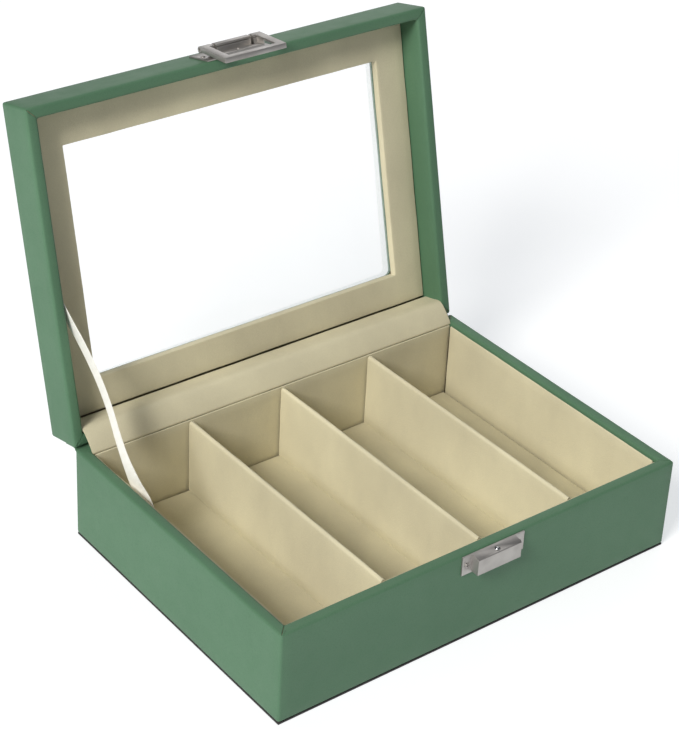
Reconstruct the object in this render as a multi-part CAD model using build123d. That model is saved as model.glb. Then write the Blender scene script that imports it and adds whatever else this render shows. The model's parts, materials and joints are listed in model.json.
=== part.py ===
from build123d import *
import os
from math import atan2, cos, degrees, radians, sin, sqrt, tan

# A hinged case for glasses: leather over board, velvet lining, glass window in the lid.
# +X runs along the hinge, -Y is the front with the latch, +Z is up, and the origin is the
# middle of the underside. Millimetres. The lid is drawn shut and turned open about the hinge.

# ---- overall sizes ----
LENGTH = 260.0
DEPTH = 186.0
BASE_HEIGHT = 55.0
LID_HEIGHT = 25.0
OPEN_ANGLE = 103.0
RIM_GAP = 0.5             # between the two rims when the lid is shut

# ---- sheet and board thicknesses ----
LEATHER = 0.6
BOARD = 5.2
LINING = 2.0
BOTTOM_SHEET = 1.2
BOTTOM_INSET = 0.3
FLOOR = 3.0
PAD = 3.0
TURN_DOWN = 10.0          # leather turned down inside the base's rim
TURN_UNDER = 8.0          # leather turned under the base's walls
CORNER_RADIUS = 1.2

# ---- compartments ----
LINING_DROP = 2.0         # linings and dividers stand this far under the rim
DIVIDER = 4.0
DIVIDER_NAMES = ["divider_left", "divider_middle", "divider_right"]

# ---- lid ----
TOP_BOARD = 4.0
GLASS = 2.0
GLASS_OVERLAP = 5.5       # the glass reaches this far behind the window's edge
WINDOW_LENGTH = 206.6
WINDOW_DEPTH = 129.8
WINDOW_STEP = 1.5         # the leather's opening is this much larger all round than the velvet's
WINDOW_RADIUS = 4.0
FRAME_STRIP = 4.6         # velvet-covered strips round the window
LID_LINING_START = 1.0    # the hinge-side lining starts this far above the lid's rim

# ---- hinges ----
HINGE_SPACING = 150.0
HINGE_WIDTH = 24.0
HINGE_KNUCKLE_RADIUS = 1.65
HINGE_PIN_RADIUS = 0.8
HINGE_MIDDLE = 7.8        # width of the lid leaf's knuckle
LEAF = 0.8
LEAF_INSET = 0.2          # from the leaf's edge to the board's inner face
RUNNING_FIT = 0.06        # radial
SIDE_FIT = 0.2
NOTCH_FIT = 0.3           # round the knuckles
HINGE_SCREW_SPACING = 16.0
HINGE_SCREW_HEAD = 1.3
HINGE_SCREW_SHANK = 0.7
HINGE_SCREW_LENGTH = 8.0

# ---- latch: catch on the base ----
LATCH_X = 1.5
PLATE_LENGTH = 41.0
PLATE = 0.9
CATCH_TOP = 1.0           # below the base's rim
CATCH_HEIGHT = 11.2
BLOCK_LENGTH = 28.6
BLOCK_OUT = 6.0           # from the wall to the block's front
BLOCK_FOOT = 0.8          # the block starts this far above the plate's lower edge
BLOCK_SLOPE = 1.3         # fall of the block's top from the plate to its front
BALL_RADIUS = 1.6
BALL_OUT = 3.5            # from the wall to the ball, along Y
BALL_PROUD = 0.7
BALL_LIP = 0.35
LIP_RADIUS = 1.52
BORE_DEPTH = 5.0
SPRING_WIRE = 0.15
SPRING_RADIUS = 1.1
SPRING_TURNS = 4
LATCH_SCREW_HEAD = 1.3
LATCH_SCREW_PROUD = 0.5
LATCH_SCREW_SHANK = 0.8
LATCH_SCREW_LENGTH = 5.0

# ---- latch: hasp on the lid ----
HASP_PLATE_LOW = 0.6      # above the lid's rim
HASP_PLATE_HEIGHT = 18.0
HASP_AXIS_UP = 8.4        # above the lid's rim
HASP_AXIS_OUT = 5.4       # from the lid's front face
HASP_BARREL_RADIUS = 1.9
HASP_PIN_RADIUS = 0.8
HASP_EAR = 1.6
HASP_EAR_SPACING = 24.0
HASP_EAR_RADIUS = 1.6
LOOP_LENGTH = 39.5
LOOP_TILT = 8.0
LOOP_BAR_FIT = 0.4        # from the block's foot down to the loop's bar, when it is shut
LOOP_SKIN = 1.2
LOOP_WALL = 0.9
LOOP_BAR = 3.4
LOOP_DEPTH = 2.8          # from the loop's top to the ends of its walls
LOOP_SIDE_FIT = 0.9       # from the block to each arm
TONGUE_OUT = 1.4          # from the lid's face
TONGUE = 1.2
TONGUE_REACH = 9.65       # from the axis down to the tongue's end
TONGUE_TOP = 2.9          # from the axis down to where the tongue meets the barrel
TONGUE_LAP = 0.5          # the tongue runs this far into each arm
DIMPLE_RADIUS = 1.7
DIMPLE_REACH = 6.4

# ---- soft pieces ----
VELVET = 0.8
VELVET_END_GAP = 1.0      # from each end of the velvet strip to the side walls
SPINE = 0.6
SPINE_LAP = 8.0           # glued to the base's back and to the lid's
SPINE_FREE = 3.2          # from the hinge line to where the spine is glued, on each side
SPINE_END_GAP = 1.0       # from each end of the spine to the side faces
RIBBON_WIDTH = 11.0
RIBBON = 0.5
RIBBON_GLUE = 0.1
RIBBON_BASE_REACH = 61.0  # from the hinge line to the ribbon's end in the base
RIBBON_BASE_DROP = 19.0   # from the lining's top down to that end
RIBBON_LID_REACH = 82.7   # from the hinge line to the ribbon's end in the lid
RIBBON_LID_DROP = 5.4     # from the window strips to that end

# ---- places worked out from the sizes ----
half_x = LENGTH / 2
half_y = DEPTH / 2
board_out = (half_x - LEATHER, half_y - LEATHER)
board_in = (board_out[0] - BOARD, board_out[1] - BOARD)
wall_in = (board_in[0] - LEATHER, board_in[1] - LEATHER)
lining_in = (wall_in[0] - LINING, wall_in[1] - LINING)
rim_z = BASE_HEIGHT
base_board_low = BOTTOM_SHEET + LEATHER
base_board_high = rim_z - LEATHER
floor_top = base_board_low + FLOOR
pad_top = floor_top + PAD
lining_top = rim_z - LINING_DROP

lid_z = BASE_HEIGHT + RIM_GAP
lid_top = lid_z + LID_HEIGHT
top_board_high = lid_top - LEATHER
top_board_low = top_board_high - TOP_BOARD
glass_top = top_board_low + GLASS
strip_low = top_board_low - FRAME_STRIP
window = (WINDOW_LENGTH / 2, WINDOW_DEPTH / 2)
window_leather = (window[0] + WINDOW_STEP, window[1] + WINDOW_STEP)
window_board = (window_leather[0] + LEATHER, window_leather[1] + LEATHER)
glass_half = (window[0] + GLASS_OVERLAP, window[1] + GLASS_OVERLAP)

hinge_z = BASE_HEIGHT + RIM_GAP / 2
HINGE = Axis((0, half_y, hinge_z), (1, 0, 0))
hinge_xs = {"left": -HINGE_SPACING / 2, "right": HINGE_SPACING / 2}


# ---- shapes ----
def block(x, y, z):
    """A box from its low and high ends along X, Y and Z."""
    low, high = zip(x, y, z)
    return Pos(*[(a + b) / 2 for a, b in zip(low, high)]) * Box(*[b - a for a, b in zip(low, high)])


def slab(half, z):
    """A box centred on the Z axis, from its two half sizes and its heights."""
    return block((-half[0], half[0]), (-half[1], half[1]), z)


def ring(outer, inner, z):
    """A rectangular ring between two pairs of half sizes."""
    return slab(outer, z) - slab(inner, z)


def rounded(shape, radius):
    """The shape with its upright edges rounded."""
    return fillet(shape.edges().filter_by(Axis.Z), radius)


def bars(outer, inner, z):
    """Four straight bars that make a rectangular frame; the front and back ones run full length."""
    return {
        "front": block((-outer[0], outer[0]), (-outer[1], -inner[1]), z),
        "back": block((-outer[0], outer[0]), (inner[1], outer[1]), z),
        "left": block((-outer[0], -inner[0]), (-inner[1], inner[1]), z),
        "right": block((inner[0], outer[0]), (-inner[1], inner[1]), z),
    }


def rod(radius, x, y, z):
    """A cylinder along X, from its ends in X and its centre in Y and Z."""
    return Pos((x[0] + x[1]) / 2, y, z) * Rot(0, 90, 0) * Cylinder(radius, x[1] - x[0])


def prism(points, x):
    """A solid with a straight-sided outline in Y and Z, between two places in X."""
    face = Plane.YZ * make_face(Polyline(*points, close=True))
    return Pos(x[0], 0, 0) * extrude(face, x[1] - x[0])


def strip_outline(points, thickness):
    """The outline of a strip of even thickness that follows a line of points."""
    sides = ([], [])
    for i, (a, b) in enumerate(points):
        before = points[max(i - 1, 0)]
        after = points[min(i + 1, len(points) - 1)]
        runs = [(a - before[0], b - before[1]), (after[0] - a, after[1] - b)]
        normals = [(-v / sqrt(u * u + v * v), u / sqrt(u * u + v * v)) for u, v in runs if u or v]
        na, nb = sum(n[0] for n in normals), sum(n[1] for n in normals)
        reach = thickness / (na * na + nb * nb) * len(normals)
        sides[0].append((a + na * reach / 2, b + nb * reach / 2))
        sides[1].append((a - na * reach / 2, b - nb * reach / 2))
    return sides[0] + sides[1][::-1]


def opened(shape):
    """A piece of the lid, drawn shut, turned to where it stands open."""
    return shape.rotate(HINGE, -OPEN_ANGLE)


def opened_point(y, z):
    """Where a point of the shut lid, given in Y and Z, stands when the lid is open."""
    turn = radians(OPEN_ANGLE)
    dy, dz = y - half_y, z - hinge_z
    return half_y + dy * cos(turn) + dz * sin(turn), hinge_z - dy * sin(turn) + dz * cos(turn)


def union(shapes):
    """Several touching or overlapping shapes as one."""
    whole = shapes[0]
    for shape in shapes[1:]:
        whole = whole + shape
    return whole


def without(shape, cuts):
    """The shape with each of the cuts taken out."""
    for cut in cuts:
        shape = shape - cut
    return shape


# ---- hinges ----
def hinge_notch(x):
    """Room for a hinge's knuckles in the back edges of the base and the lid."""
    reach = HINGE_WIDTH / 2 + NOTCH_FIT
    return rod(HINGE_KNUCKLE_RADIUS + NOTCH_FIT, (x - reach, x + reach), half_y, hinge_z)


def leaf_low():
    """The underside of the base's leaf, which lies under the leather of the rim."""
    return base_board_high - LEAF


def leaf_plate(x, up):
    """A leaf's flat plate, under the base's leather or, when up, over the lid's."""
    z = (leaf_low(), leaf_low() + LEAF)
    if up:
        z = (2 * hinge_z - z[1], 2 * hinge_z - z[0])
    return block((x - HINGE_WIDTH / 2, x + HINGE_WIDTH / 2), (board_in[1] + LEAF_INSET, half_y), z)


def hinge_screws(x, up):
    """The two screws of one leaf: flat heads in the leaf and shanks in the board."""
    face = leaf_low() + LEAF
    y = (board_in[1] + LEAF_INSET + half_y - HINGE_KNUCKLE_RADIUS - NOTCH_FIT) / 2
    screws = []
    for side in (-1, 1):
        place = x + side * HINGE_SCREW_SPACING / 2
        head = Pos(place, y, face - LEAF / 2) * Cylinder(HINGE_SCREW_HEAD, LEAF)
        shank_middle = face - LEAF - (HINGE_SCREW_LENGTH - LEAF) / 2
        shank = Pos(place, y, shank_middle) * Cylinder(HINGE_SCREW_SHANK, HINGE_SCREW_LENGTH - LEAF)
        screw = head + shank
        screws.append(screw.mirror(Plane.XY.offset(hinge_z)) if up else screw)
    return screws


def hinge_leaf(x, up):
    """A leaf: the base's has the two outer knuckles, the lid's has the middle one."""
    outer = [(x - HINGE_WIDTH / 2, x - HINGE_MIDDLE / 2 - SIDE_FIT),
             (x + HINGE_MIDDLE / 2 + SIDE_FIT, x + HINGE_WIDTH / 2)]
    middle = [(x - HINGE_MIDDLE / 2, x + HINGE_MIDDLE / 2)]
    gap = [(x - HINGE_MIDDLE / 2 - SIDE_FIT, x + HINGE_MIDDLE / 2 + SIDE_FIT)]
    reach = HINGE_WIDTH / 2 + SIDE_FIT
    beside = [(x - reach, x - HINGE_MIDDLE / 2), (x + HINGE_MIDDLE / 2, x + reach)]
    own, others = (middle, beside) if up else (outer, gap)
    plate = leaf_plate(x, up)
    plate = without(plate, [rod(HINGE_KNUCKLE_RADIUS + SIDE_FIT, ends, half_y, hinge_z) for ends in others])
    leaf = union([plate] + [rod(HINGE_KNUCKLE_RADIUS, ends, half_y, hinge_z) for ends in own])
    hole = HINGE_PIN_RADIUS + (RUNNING_FIT if up else 0)
    leaf = leaf - rod(hole, (x - HINGE_WIDTH, x + HINGE_WIDTH), half_y, hinge_z)
    return without(leaf, hinge_screws(x, up))


def hinges():
    """Both hinges: leaves, pins and screws."""
    nodes = {}
    for side, x in hinge_xs.items():
        nodes[f"hinge_{side}_base_leaf"] = hinge_leaf(x, False)
        nodes[f"hinge_{side}_lid_leaf"] = opened(hinge_leaf(x, True))
        pin = (x - HINGE_WIDTH / 2, x + HINGE_WIDTH / 2)
        nodes[f"hinge_{side}_pin"] = rod(HINGE_PIN_RADIUS, pin, half_y, hinge_z)
    for name, up in (("hinge_base_screws", False), ("hinge_lid_screws", True)):
        screws = [screw for x in hinge_xs.values() for screw in hinge_screws(x, up)]
        nodes[name] = Compound([opened(screw) if up else screw for screw in screws])
    return nodes


# ---- latch ----
latch_front = -half_y                                   # the leather's front face
catch_high = rim_z - CATCH_TOP
catch_low = catch_high - CATCH_HEIGHT
slope_angle = degrees(atan2(BLOCK_SLOPE, BLOCK_OUT - PLATE))
slope_at_ball = catch_high - (BALL_OUT - PLATE) * tan(radians(slope_angle))
ball_frame = Pos(LATCH_X, latch_front - BALL_OUT, slope_at_ball) * Rot(slope_angle, 0, 0)
ball_depth = BALL_RADIUS - BALL_PROUD                   # ball's centre under the sloping top


def latch_x(length):
    """The ends in X of a latch piece of this length."""
    return LATCH_X - length / 2, LATCH_X + length / 2


def front_screws(z):
    """The two screws at the ends of a latch plate, their heads on the plate."""
    screws = []
    for side in (-1, 1):
        x = LATCH_X + side * (PLATE_LENGTH + BLOCK_LENGTH) / 4
        face = latch_front - PLATE
        head = Cylinder(LATCH_SCREW_HEAD, LATCH_SCREW_PROUD)
        shank = Cylinder(LATCH_SCREW_SHANK, LATCH_SCREW_LENGTH)
        head = Pos(x, face - LATCH_SCREW_PROUD / 2, z) * Rot(90, 0, 0) * head
        screws.append(head + Pos(x, face + LATCH_SCREW_LENGTH / 2, z) * Rot(90, 0, 0) * shank)
    return screws


catch_screws = front_screws(catch_low + CATCH_HEIGHT / 2)
hasp_screws = front_screws(lid_z + HASP_PLATE_LOW + HASP_PLATE_HEIGHT / 2)


def catch():
    """The catch on the base: plate and block in one casting, sprung ball, spring and screws."""
    plate = block(latch_x(PLATE_LENGTH), (latch_front - PLATE, latch_front), (catch_low, catch_high))
    back, front = latch_front - PLATE, latch_front - BLOCK_OUT
    foot = catch_low + BLOCK_FOOT
    outline = [(back, foot), (front, foot), (front, catch_high - BLOCK_SLOPE), (back, catch_high)]
    body = plate + prism(outline, latch_x(BLOCK_LENGTH))
    bore_top = -BALL_LIP
    bore = Pos(0, 0, bore_top - BORE_DEPTH / 2) * Cylinder(BALL_RADIUS + RUNNING_FIT, BORE_DEPTH)
    mouth = Cylinder(LIP_RADIUS, 4 * BALL_LIP)
    body = body - ball_frame * bore - ball_frame * mouth
    ball = ball_frame * Pos(0, 0, -ball_depth) * Sphere(BALL_RADIUS)
    spring_low = bore_top - BORE_DEPTH + SPRING_WIRE
    spring_high = -ball_depth - BALL_RADIUS - SPRING_WIRE / 2
    height = spring_high - spring_low
    coil = Helix(pitch=height / SPRING_TURNS, height=height, radius=SPRING_RADIUS)
    wire = sweep(Plane(coil @ 0, z_dir=coil % 0) * Circle(SPRING_WIRE), path=coil, is_frenet=True)
    return {
        "catch_body": without(body, catch_screws),
        "catch_ball": ball,
        "catch_spring": ball_frame * Pos(0, 0, spring_low) * wire,
        "catch_screws": Compound(catch_screws),
    }


def hasp_point(up, out):
    """A point of the shut lid's front, from its height over the rim and its distance from the face."""
    return latch_front - out, lid_z + up


def hasp_plate():
    """The hasp's plate on the lid, with two ears that hold the loop's pin."""
    low = lid_z + HASP_PLATE_LOW
    plate = block(latch_x(PLATE_LENGTH), (latch_front - PLATE, latch_front), (low, low + HASP_PLATE_HEIGHT))
    axis = hasp_point(HASP_AXIS_UP, HASP_AXIS_OUT)
    ears = []
    for side in (-1, 1):
        middle = LATCH_X + side * HASP_EAR_SPACING / 2
        x = (middle - HASP_EAR / 2, middle + HASP_EAR / 2)
        neck_z = (axis[1] - HASP_EAR_RADIUS, axis[1] + HASP_EAR_RADIUS)
        neck = block(x, (axis[0], latch_front - PLATE), neck_z)
        ears.append(neck + rod(HASP_EAR_RADIUS, x, *axis))
    body = union([plate] + ears) - rod(HASP_PIN_RADIUS, latch_x(PLATE_LENGTH), *axis)
    return without(body, hasp_screws)


def hasp_loop():
    """The loop that drops over the catch: a walled frame with a round barrel and a dimpled tongue."""
    axis = hasp_point(HASP_AXIS_UP, HASP_AXIS_OUT)
    fall = tan(radians(LOOP_TILT))
    high = HASP_AXIS_OUT + HASP_BARREL_RADIUS

    def line(reach, sink):
        """A point on the loop's sloping top, or sunk below it, at a distance down from the axis."""
        return hasp_point(HASP_AXIS_UP - reach, high - reach * fall - sink)

    end = axis[1] - (catch_low + BLOCK_FOOT - LOOP_BAR_FIT) + LOOP_BAR
    inner = end - LOOP_WALL
    body = prism([line(0, 0), line(end, 0), line(end, LOOP_DEPTH), line(0, LOOP_DEPTH)], latch_x(LOOP_LENGTH))
    below = [hasp_point(HASP_AXIS_UP - inner, -end), hasp_point(HASP_AXIS_UP + end, -end)]
    hollow_x = latch_x(LOOP_LENGTH - 2 * LOOP_WALL)
    hollow = prism([line(-end, LOOP_SKIN), line(inner, LOOP_SKIN)] + below, hollow_x)
    opening_x = latch_x(BLOCK_LENGTH + 2 * LOOP_SIDE_FIT)
    opening_z = (axis[1] - end + LOOP_BAR, axis[1] - TONGUE_TOP)
    opening = block(opening_x, (latch_front - 2 * high, latch_front), opening_z)
    body = body - hollow - opening + rod(HASP_BARREL_RADIUS, latch_x(LOOP_LENGTH), *axis)
    tongue_x = (opening_x[0] - TONGUE_LAP, opening_x[1] + TONGUE_LAP)
    tongue_y = (latch_front - TONGUE_OUT - TONGUE, latch_front - TONGUE_OUT)
    tongue = block(tongue_x, tongue_y, (axis[1] - TONGUE_REACH, axis[1] - TONGUE_TOP))
    cheek = [line(TONGUE_TOP, LOOP_SKIN / 2), line(TONGUE_REACH, LOOP_SKIN / 2)]
    cheek += [hasp_point(HASP_AXIS_UP - reach, TONGUE_OUT) for reach in (TONGUE_REACH, TONGUE_TOP)]
    for ends in zip(tongue_x, opening_x):
        tongue = tongue + prism(cheek, sorted(ends))
    web_low = axis[1] - TONGUE_TOP - LOOP_WALL
    tongue = tongue + block(opening_x, (axis[0], tongue_y[1]), (web_low, axis[1]))
    dimple = Rot(90, 0, 0) * Cylinder(DIMPLE_RADIUS, 4 * TONGUE)
    dimple = Pos(LATCH_X, tongue_y[0], axis[1] - DIMPLE_REACH) * dimple
    body = body + (tongue - dimple)
    ear_room = HASP_EAR_RADIUS + 2 * SIDE_FIT
    for side in (-1, 1):
        middle = LATCH_X + side * HASP_EAR_SPACING / 2
        x = (middle - HASP_EAR / 2 - SIDE_FIT, middle + HASP_EAR / 2 + SIDE_FIT)
        body = body - rod(HASP_AXIS_OUT, x, *axis)
    return body - rod(HASP_PIN_RADIUS + RUNNING_FIT, latch_x(2 * LOOP_LENGTH), *axis)


def hasp():
    """The hasp on the lid: plate, screws, pin and loop."""
    axis = hasp_point(HASP_AXIS_UP, HASP_AXIS_OUT)
    pieces = {
        "hasp_plate": hasp_plate(),
        "hasp_pin": rod(HASP_PIN_RADIUS, latch_x(LOOP_LENGTH - 2 * LOOP_WALL), *axis),
        "hasp_loop": hasp_loop(),
        "hasp_screws": Compound(hasp_screws),
    }
    return {name: opened(piece) for name, piece in pieces.items()}


# ---- base ----
def base():
    """The base: bottom sheet, boards, leather, linings, floor pad and dividers."""
    notches = [hinge_notch(x) for x in hinge_xs.values()]
    pockets = [leaf_plate(x, False) for x in hinge_xs.values()]
    pilots = [screw for x in hinge_xs.values() for screw in hinge_screws(x, False)]
    sheet = (half_x - BOTTOM_INSET, half_y - BOTTOM_INSET)
    nodes = {"base_bottom_sheet": slab(sheet, (0, BOTTOM_SHEET))}
    walls = bars(board_out, board_in, (base_board_low, base_board_high))
    walls["back"] = without(walls["back"], notches + pockets + pilots)
    walls["front"] = without(walls["front"], catch_screws)
    for side, wall in walls.items():
        nodes[f"base_{side}_board"] = wall
    nodes["base_floor_board"] = slab(board_in, (base_board_low, floor_top))
    outside = rounded(slab((half_x, half_y), (BOTTOM_SHEET, rim_z)), CORNER_RADIUS)
    under = (board_out[0] - TURN_UNDER, board_out[1] - TURN_UNDER)
    leather = union([
        outside - slab(board_out, (0, rim_z)),
        ring(board_out, wall_in, (base_board_high, rim_z)),
        ring(board_in, wall_in, (rim_z - TURN_DOWN, base_board_high)),
        ring(board_out, under, (BOTTOM_SHEET, base_board_low)),
    ])
    nodes["base_leather"] = without(leather, notches + pockets + catch_screws)
    for side, lining in bars(wall_in, lining_in, (floor_top, lining_top)).items():
        nodes[f"base_{side}_lining"] = lining
    nodes["base_floor_pad"] = slab(lining_in, (floor_top, pad_top))
    count = len(DIVIDER_NAMES)
    slot = (2 * lining_in[0] - count * DIVIDER) / (count + 1)
    for i, name in enumerate(DIVIDER_NAMES):
        low = -lining_in[0] + slot + i * (slot + DIVIDER)
        nodes[name] = block((low, low + DIVIDER), (-lining_in[1], lining_in[1]), (pad_top, lining_top))
    return nodes


# ---- lid ----
def lid():
    """The lid: side boards, top rails, leather, glass, velvet-covered window strips and lining."""
    notches = [hinge_notch(x) for x in hinge_xs.values()]
    pockets = [leaf_plate(x, True) for x in hinge_xs.values()]
    pilots = [screw for x in hinge_xs.values() for screw in hinge_screws(x, True)]
    pieces = {}
    walls = bars(board_out, board_in, (lid_z + LEATHER, top_board_high))
    walls["back"] = without(walls["back"], notches + pockets + pilots)
    walls["front"] = without(walls["front"], hasp_screws)
    for side, wall in walls.items():
        pieces[f"lid_{side}_board"] = wall
    glass = slab(glass_half, (top_board_low, glass_top))
    window_cut = rounded(slab(window_board, (glass_top, lid_top)), WINDOW_RADIUS + LEATHER)
    for side, rail in bars(board_in, window, (top_board_low, top_board_high)).items():
        pieces[f"lid_{side}_rail"] = without(rail, [glass, window_cut])
    outside = rounded(slab((half_x, half_y), (lid_z, lid_top)), CORNER_RADIUS)
    opening = rounded(slab(window_leather, (glass_top, lid_top)), WINDOW_RADIUS)
    leather = union([
        outside - slab(board_out, (lid_z, lid_top)),
        ring(board_out, wall_in, (lid_z, lid_z + LEATHER)),
        ring(board_in, wall_in, (lid_z + LEATHER, top_board_low)),
        slab(board_out, (top_board_high, lid_top)) + window_cut - opening,
    ])
    pieces["lid_leather"] = without(leather, notches + pockets + hasp_screws)
    pieces["lid_glass"] = glass
    for side, strip in bars(wall_in, window, (strip_low, top_board_low)).items():
        pieces[f"window_{side}_strip"] = strip
    lining_z = (lid_z + LID_LINING_START, strip_low)
    pieces["lid_back_lining"] = block((-wall_in[0], wall_in[0]), (wall_in[1] - LINING, wall_in[1]), lining_z)
    return {name: opened(piece) for name, piece in pieces.items()}


# ---- soft pieces ----
def velvet_strip():
    """The velvet over the hinge line, from the base's back lining up over the lid's rim to its lining."""
    half = VELVET / 2
    over_base = wall_in[1] - half
    lid_rim = wall_in[1] - LINING / 2
    route = [
        (over_base, lining_top + half / 2),
        (over_base, rim_z + half),
        opened_point(wall_in[1] - LINING, lid_z - half),
        opened_point(lid_rim, lid_z - half),
    ]
    end = wall_in[0] - VELVET_END_GAP
    return prism(strip_outline(route, VELVET), (-end, end))


def spine():
    """The leather over the hinge line outside, from the base's back to the lid's."""
    half = SPINE / 2
    lap = SPINE_FREE + SPINE_LAP
    route = [(half_y + half, rim_z - reach) for reach in (lap, SPINE_FREE)]
    route += [opened_point(half_y + half, lid_z + reach) for reach in (SPINE_FREE, lap)]
    end = half_x - SPINE_END_GAP
    return prism(strip_outline(route, SPINE), (-end, end))


# The ribbon's line in Y and Z, from its glued end on the base's left lining to the one in the lid.
ribbon_low = (half_y - RIBBON_BASE_REACH, lining_top - RIBBON_BASE_DROP)
ribbon_high = opened_point(half_y - RIBBON_LID_REACH, strip_low - RIBBON_LID_DROP)
# How far the ribbon stands off the lining's plane (in X) at each share of its length.
RIBBON_BOW = [(0.0, 0.0), (0.12, 0.0), (0.2, 1.0), (0.32, 2.8), (0.45, 3.6), (0.58, 3.2),
              (0.7, 1.8), (0.8, -0.2), (0.88, -2.0), (1.0, -2.0)]


def ribbon():
    """The flat stay on the left side: a straight run, bowed a little towards the middle of the case."""
    run = (ribbon_high[0] - ribbon_low[0], ribbon_high[1] - ribbon_low[1])
    length = sqrt(run[0] ** 2 + run[1] ** 2)
    face = -lining_in[0] + RIBBON / 2 + RIBBON_GLUE
    route = [(share * length, face + off) for share, off in RIBBON_BOW]
    angle = degrees(atan2(run[1], run[0]))
    plane = Plane(origin=(0, 0, 0), x_dir=(0, 1, 0), z_dir=(0, 0, -1))
    band = extrude(plane * make_face(Polyline(*strip_outline(route, RIBBON), close=True)), RIBBON_WIDTH)
    band = Pos(0, 0, RIBBON_WIDTH / 2) * band
    return Pos(0, *ribbon_low) * Rot(angle, 0, 0) * band


def main():
    """Writes one file for each piece."""
    os.makedirs("parts", exist_ok=True)
    nodes = {**base(), **catch(), **hinges(), **lid(), **hasp()}
    nodes["hinge_velvet"] = velvet_strip()
    nodes["hinge_spine"] = spine()
    nodes["ribbon_stay"] = ribbon()
    for name, shape in nodes.items():
        export_step(shape, f"parts/{name}.step")


main()
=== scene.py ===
import json
import logging
import math
from contextlib import contextmanager
from dataclasses import dataclass, field
from enum import Enum
from typing import Callable, Iterator, Sequence

import bmesh
import bpy
from mathutils import Matrix, Vector


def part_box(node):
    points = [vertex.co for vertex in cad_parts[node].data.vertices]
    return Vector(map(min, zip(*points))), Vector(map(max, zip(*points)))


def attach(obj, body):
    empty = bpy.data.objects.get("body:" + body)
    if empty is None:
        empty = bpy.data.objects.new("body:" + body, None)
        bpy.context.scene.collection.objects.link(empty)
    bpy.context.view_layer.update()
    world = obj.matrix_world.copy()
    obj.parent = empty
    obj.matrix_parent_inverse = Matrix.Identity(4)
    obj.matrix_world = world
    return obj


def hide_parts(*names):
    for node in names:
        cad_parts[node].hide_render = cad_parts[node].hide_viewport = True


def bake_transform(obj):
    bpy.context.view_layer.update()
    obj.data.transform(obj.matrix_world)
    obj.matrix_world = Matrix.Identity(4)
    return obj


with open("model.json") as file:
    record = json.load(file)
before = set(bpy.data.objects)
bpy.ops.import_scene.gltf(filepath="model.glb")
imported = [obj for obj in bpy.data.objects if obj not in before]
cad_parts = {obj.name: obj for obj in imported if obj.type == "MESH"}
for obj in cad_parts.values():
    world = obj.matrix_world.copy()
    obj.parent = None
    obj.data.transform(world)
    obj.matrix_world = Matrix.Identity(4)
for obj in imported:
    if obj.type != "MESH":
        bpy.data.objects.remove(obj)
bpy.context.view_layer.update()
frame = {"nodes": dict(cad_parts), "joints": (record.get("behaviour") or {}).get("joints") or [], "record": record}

LOG = logging.getLogger("glasses_case")

Piece = bpy.types.Object
Socket = bpy.types.NodeSocket
Colour = tuple[float, float, float]
Test = Callable[[Vector, Vector], bool]


class Body(Enum):
    """The bodies that pieces ride on."""

    BASE = "base"
    LID = "lid"
    HASP = "hasp"
    BALL = "ball"


class Slot(Enum):
    """The record's material slots."""

    LEATHER = "sage_leather"
    VELVET = "cream_velvet"
    RIBBON = "satin_ribbon"
    BOARD = "case_board"
    BOTTOM = "bottom_paper"
    GLASS = "clear_glass"
    NICKEL = "nickel"
    STEEL = "steel"


class Part(Enum):
    """What a test in edit mode picks."""

    VERT = "VERT"
    EDGE = "EDGE"
    FACE = "FACE"


# ---------------------------------------------------------------- the lid's turn
LID_JOINT = next(joint for joint in frame["joints"] if joint["name"] == "lid_hinge")
PIVOT = Vector(LID_JOINT["pos_m"])
OPEN_ANGLE = math.radians(LID_JOINT["range_deg"][1])


def turned(point: Vector, angle: float) -> Matrix:
    """The turn by an angle in radians, right-handed about +X, about the line along X through a point."""
    there = Matrix.Translation(point)
    return there @ Matrix.Rotation(angle, 4, "X") @ there.inverted()


OPENING = turned(PIVOT, -OPEN_ANGLE)
CLOSING = turned(PIVOT, OPEN_ANGLE)


def shut_box(node: str) -> tuple[Vector, Vector]:
    """The box of one of the lid's nodes as it lies when the lid is shut.

    Args:
        node: The node's name.

    Returns:
        Its lowest and highest corners.
    """
    points = [CLOSING @ vertex.co for vertex in frame["nodes"][node].data.vertices]
    low = Vector([min(point[i] for point in points) for i in range(3)])
    high = Vector([max(point[i] for point in points) for i in range(3)])
    return low, high


def window_half() -> tuple[float, float]:
    """Half the length and half the depth of the leather's window opening.

    Returns:
        The two half sizes, read from the leather's own inner outline when the lid is shut.
    """
    high = shut_box("lid_leather")[1]
    rail = shut_box("lid_left_rail")
    points = [CLOSING @ vertex.co for vertex in frame["nodes"]["lid_leather"].data.vertices]
    inner = [point for point in points if point.z > high.z - 1e-5
             and abs(point.x) < -rail[0].x and abs(point.y) < high.y - (high.x + rail[0].x)]
    return max(abs(point.x) for point in inner), max(abs(point.y) for point in inner)


# ---------------------------------------------------------------- mesh tools
def activate(piece: Piece | None) -> None:
    """Selects one piece alone, or nothing.

    Args:
        piece: The piece, or None to leave nothing selected.
    """
    for item in bpy.context.selected_objects:
        item.select_set(False)
    if piece is not None:
        piece.select_set(True)
    bpy.context.view_layer.objects.active = piece


@contextmanager
def editing(piece: Piece) -> Iterator[None]:
    """Edit mode on one piece, with nothing of its mesh selected at first.

    Args:
        piece: The piece to edit.
    """
    activate(piece)
    bpy.ops.object.mode_set(mode="EDIT")
    bpy.ops.mesh.select_all(action="DESELECT")
    yield
    bpy.ops.object.mode_set(mode="OBJECT")


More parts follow.
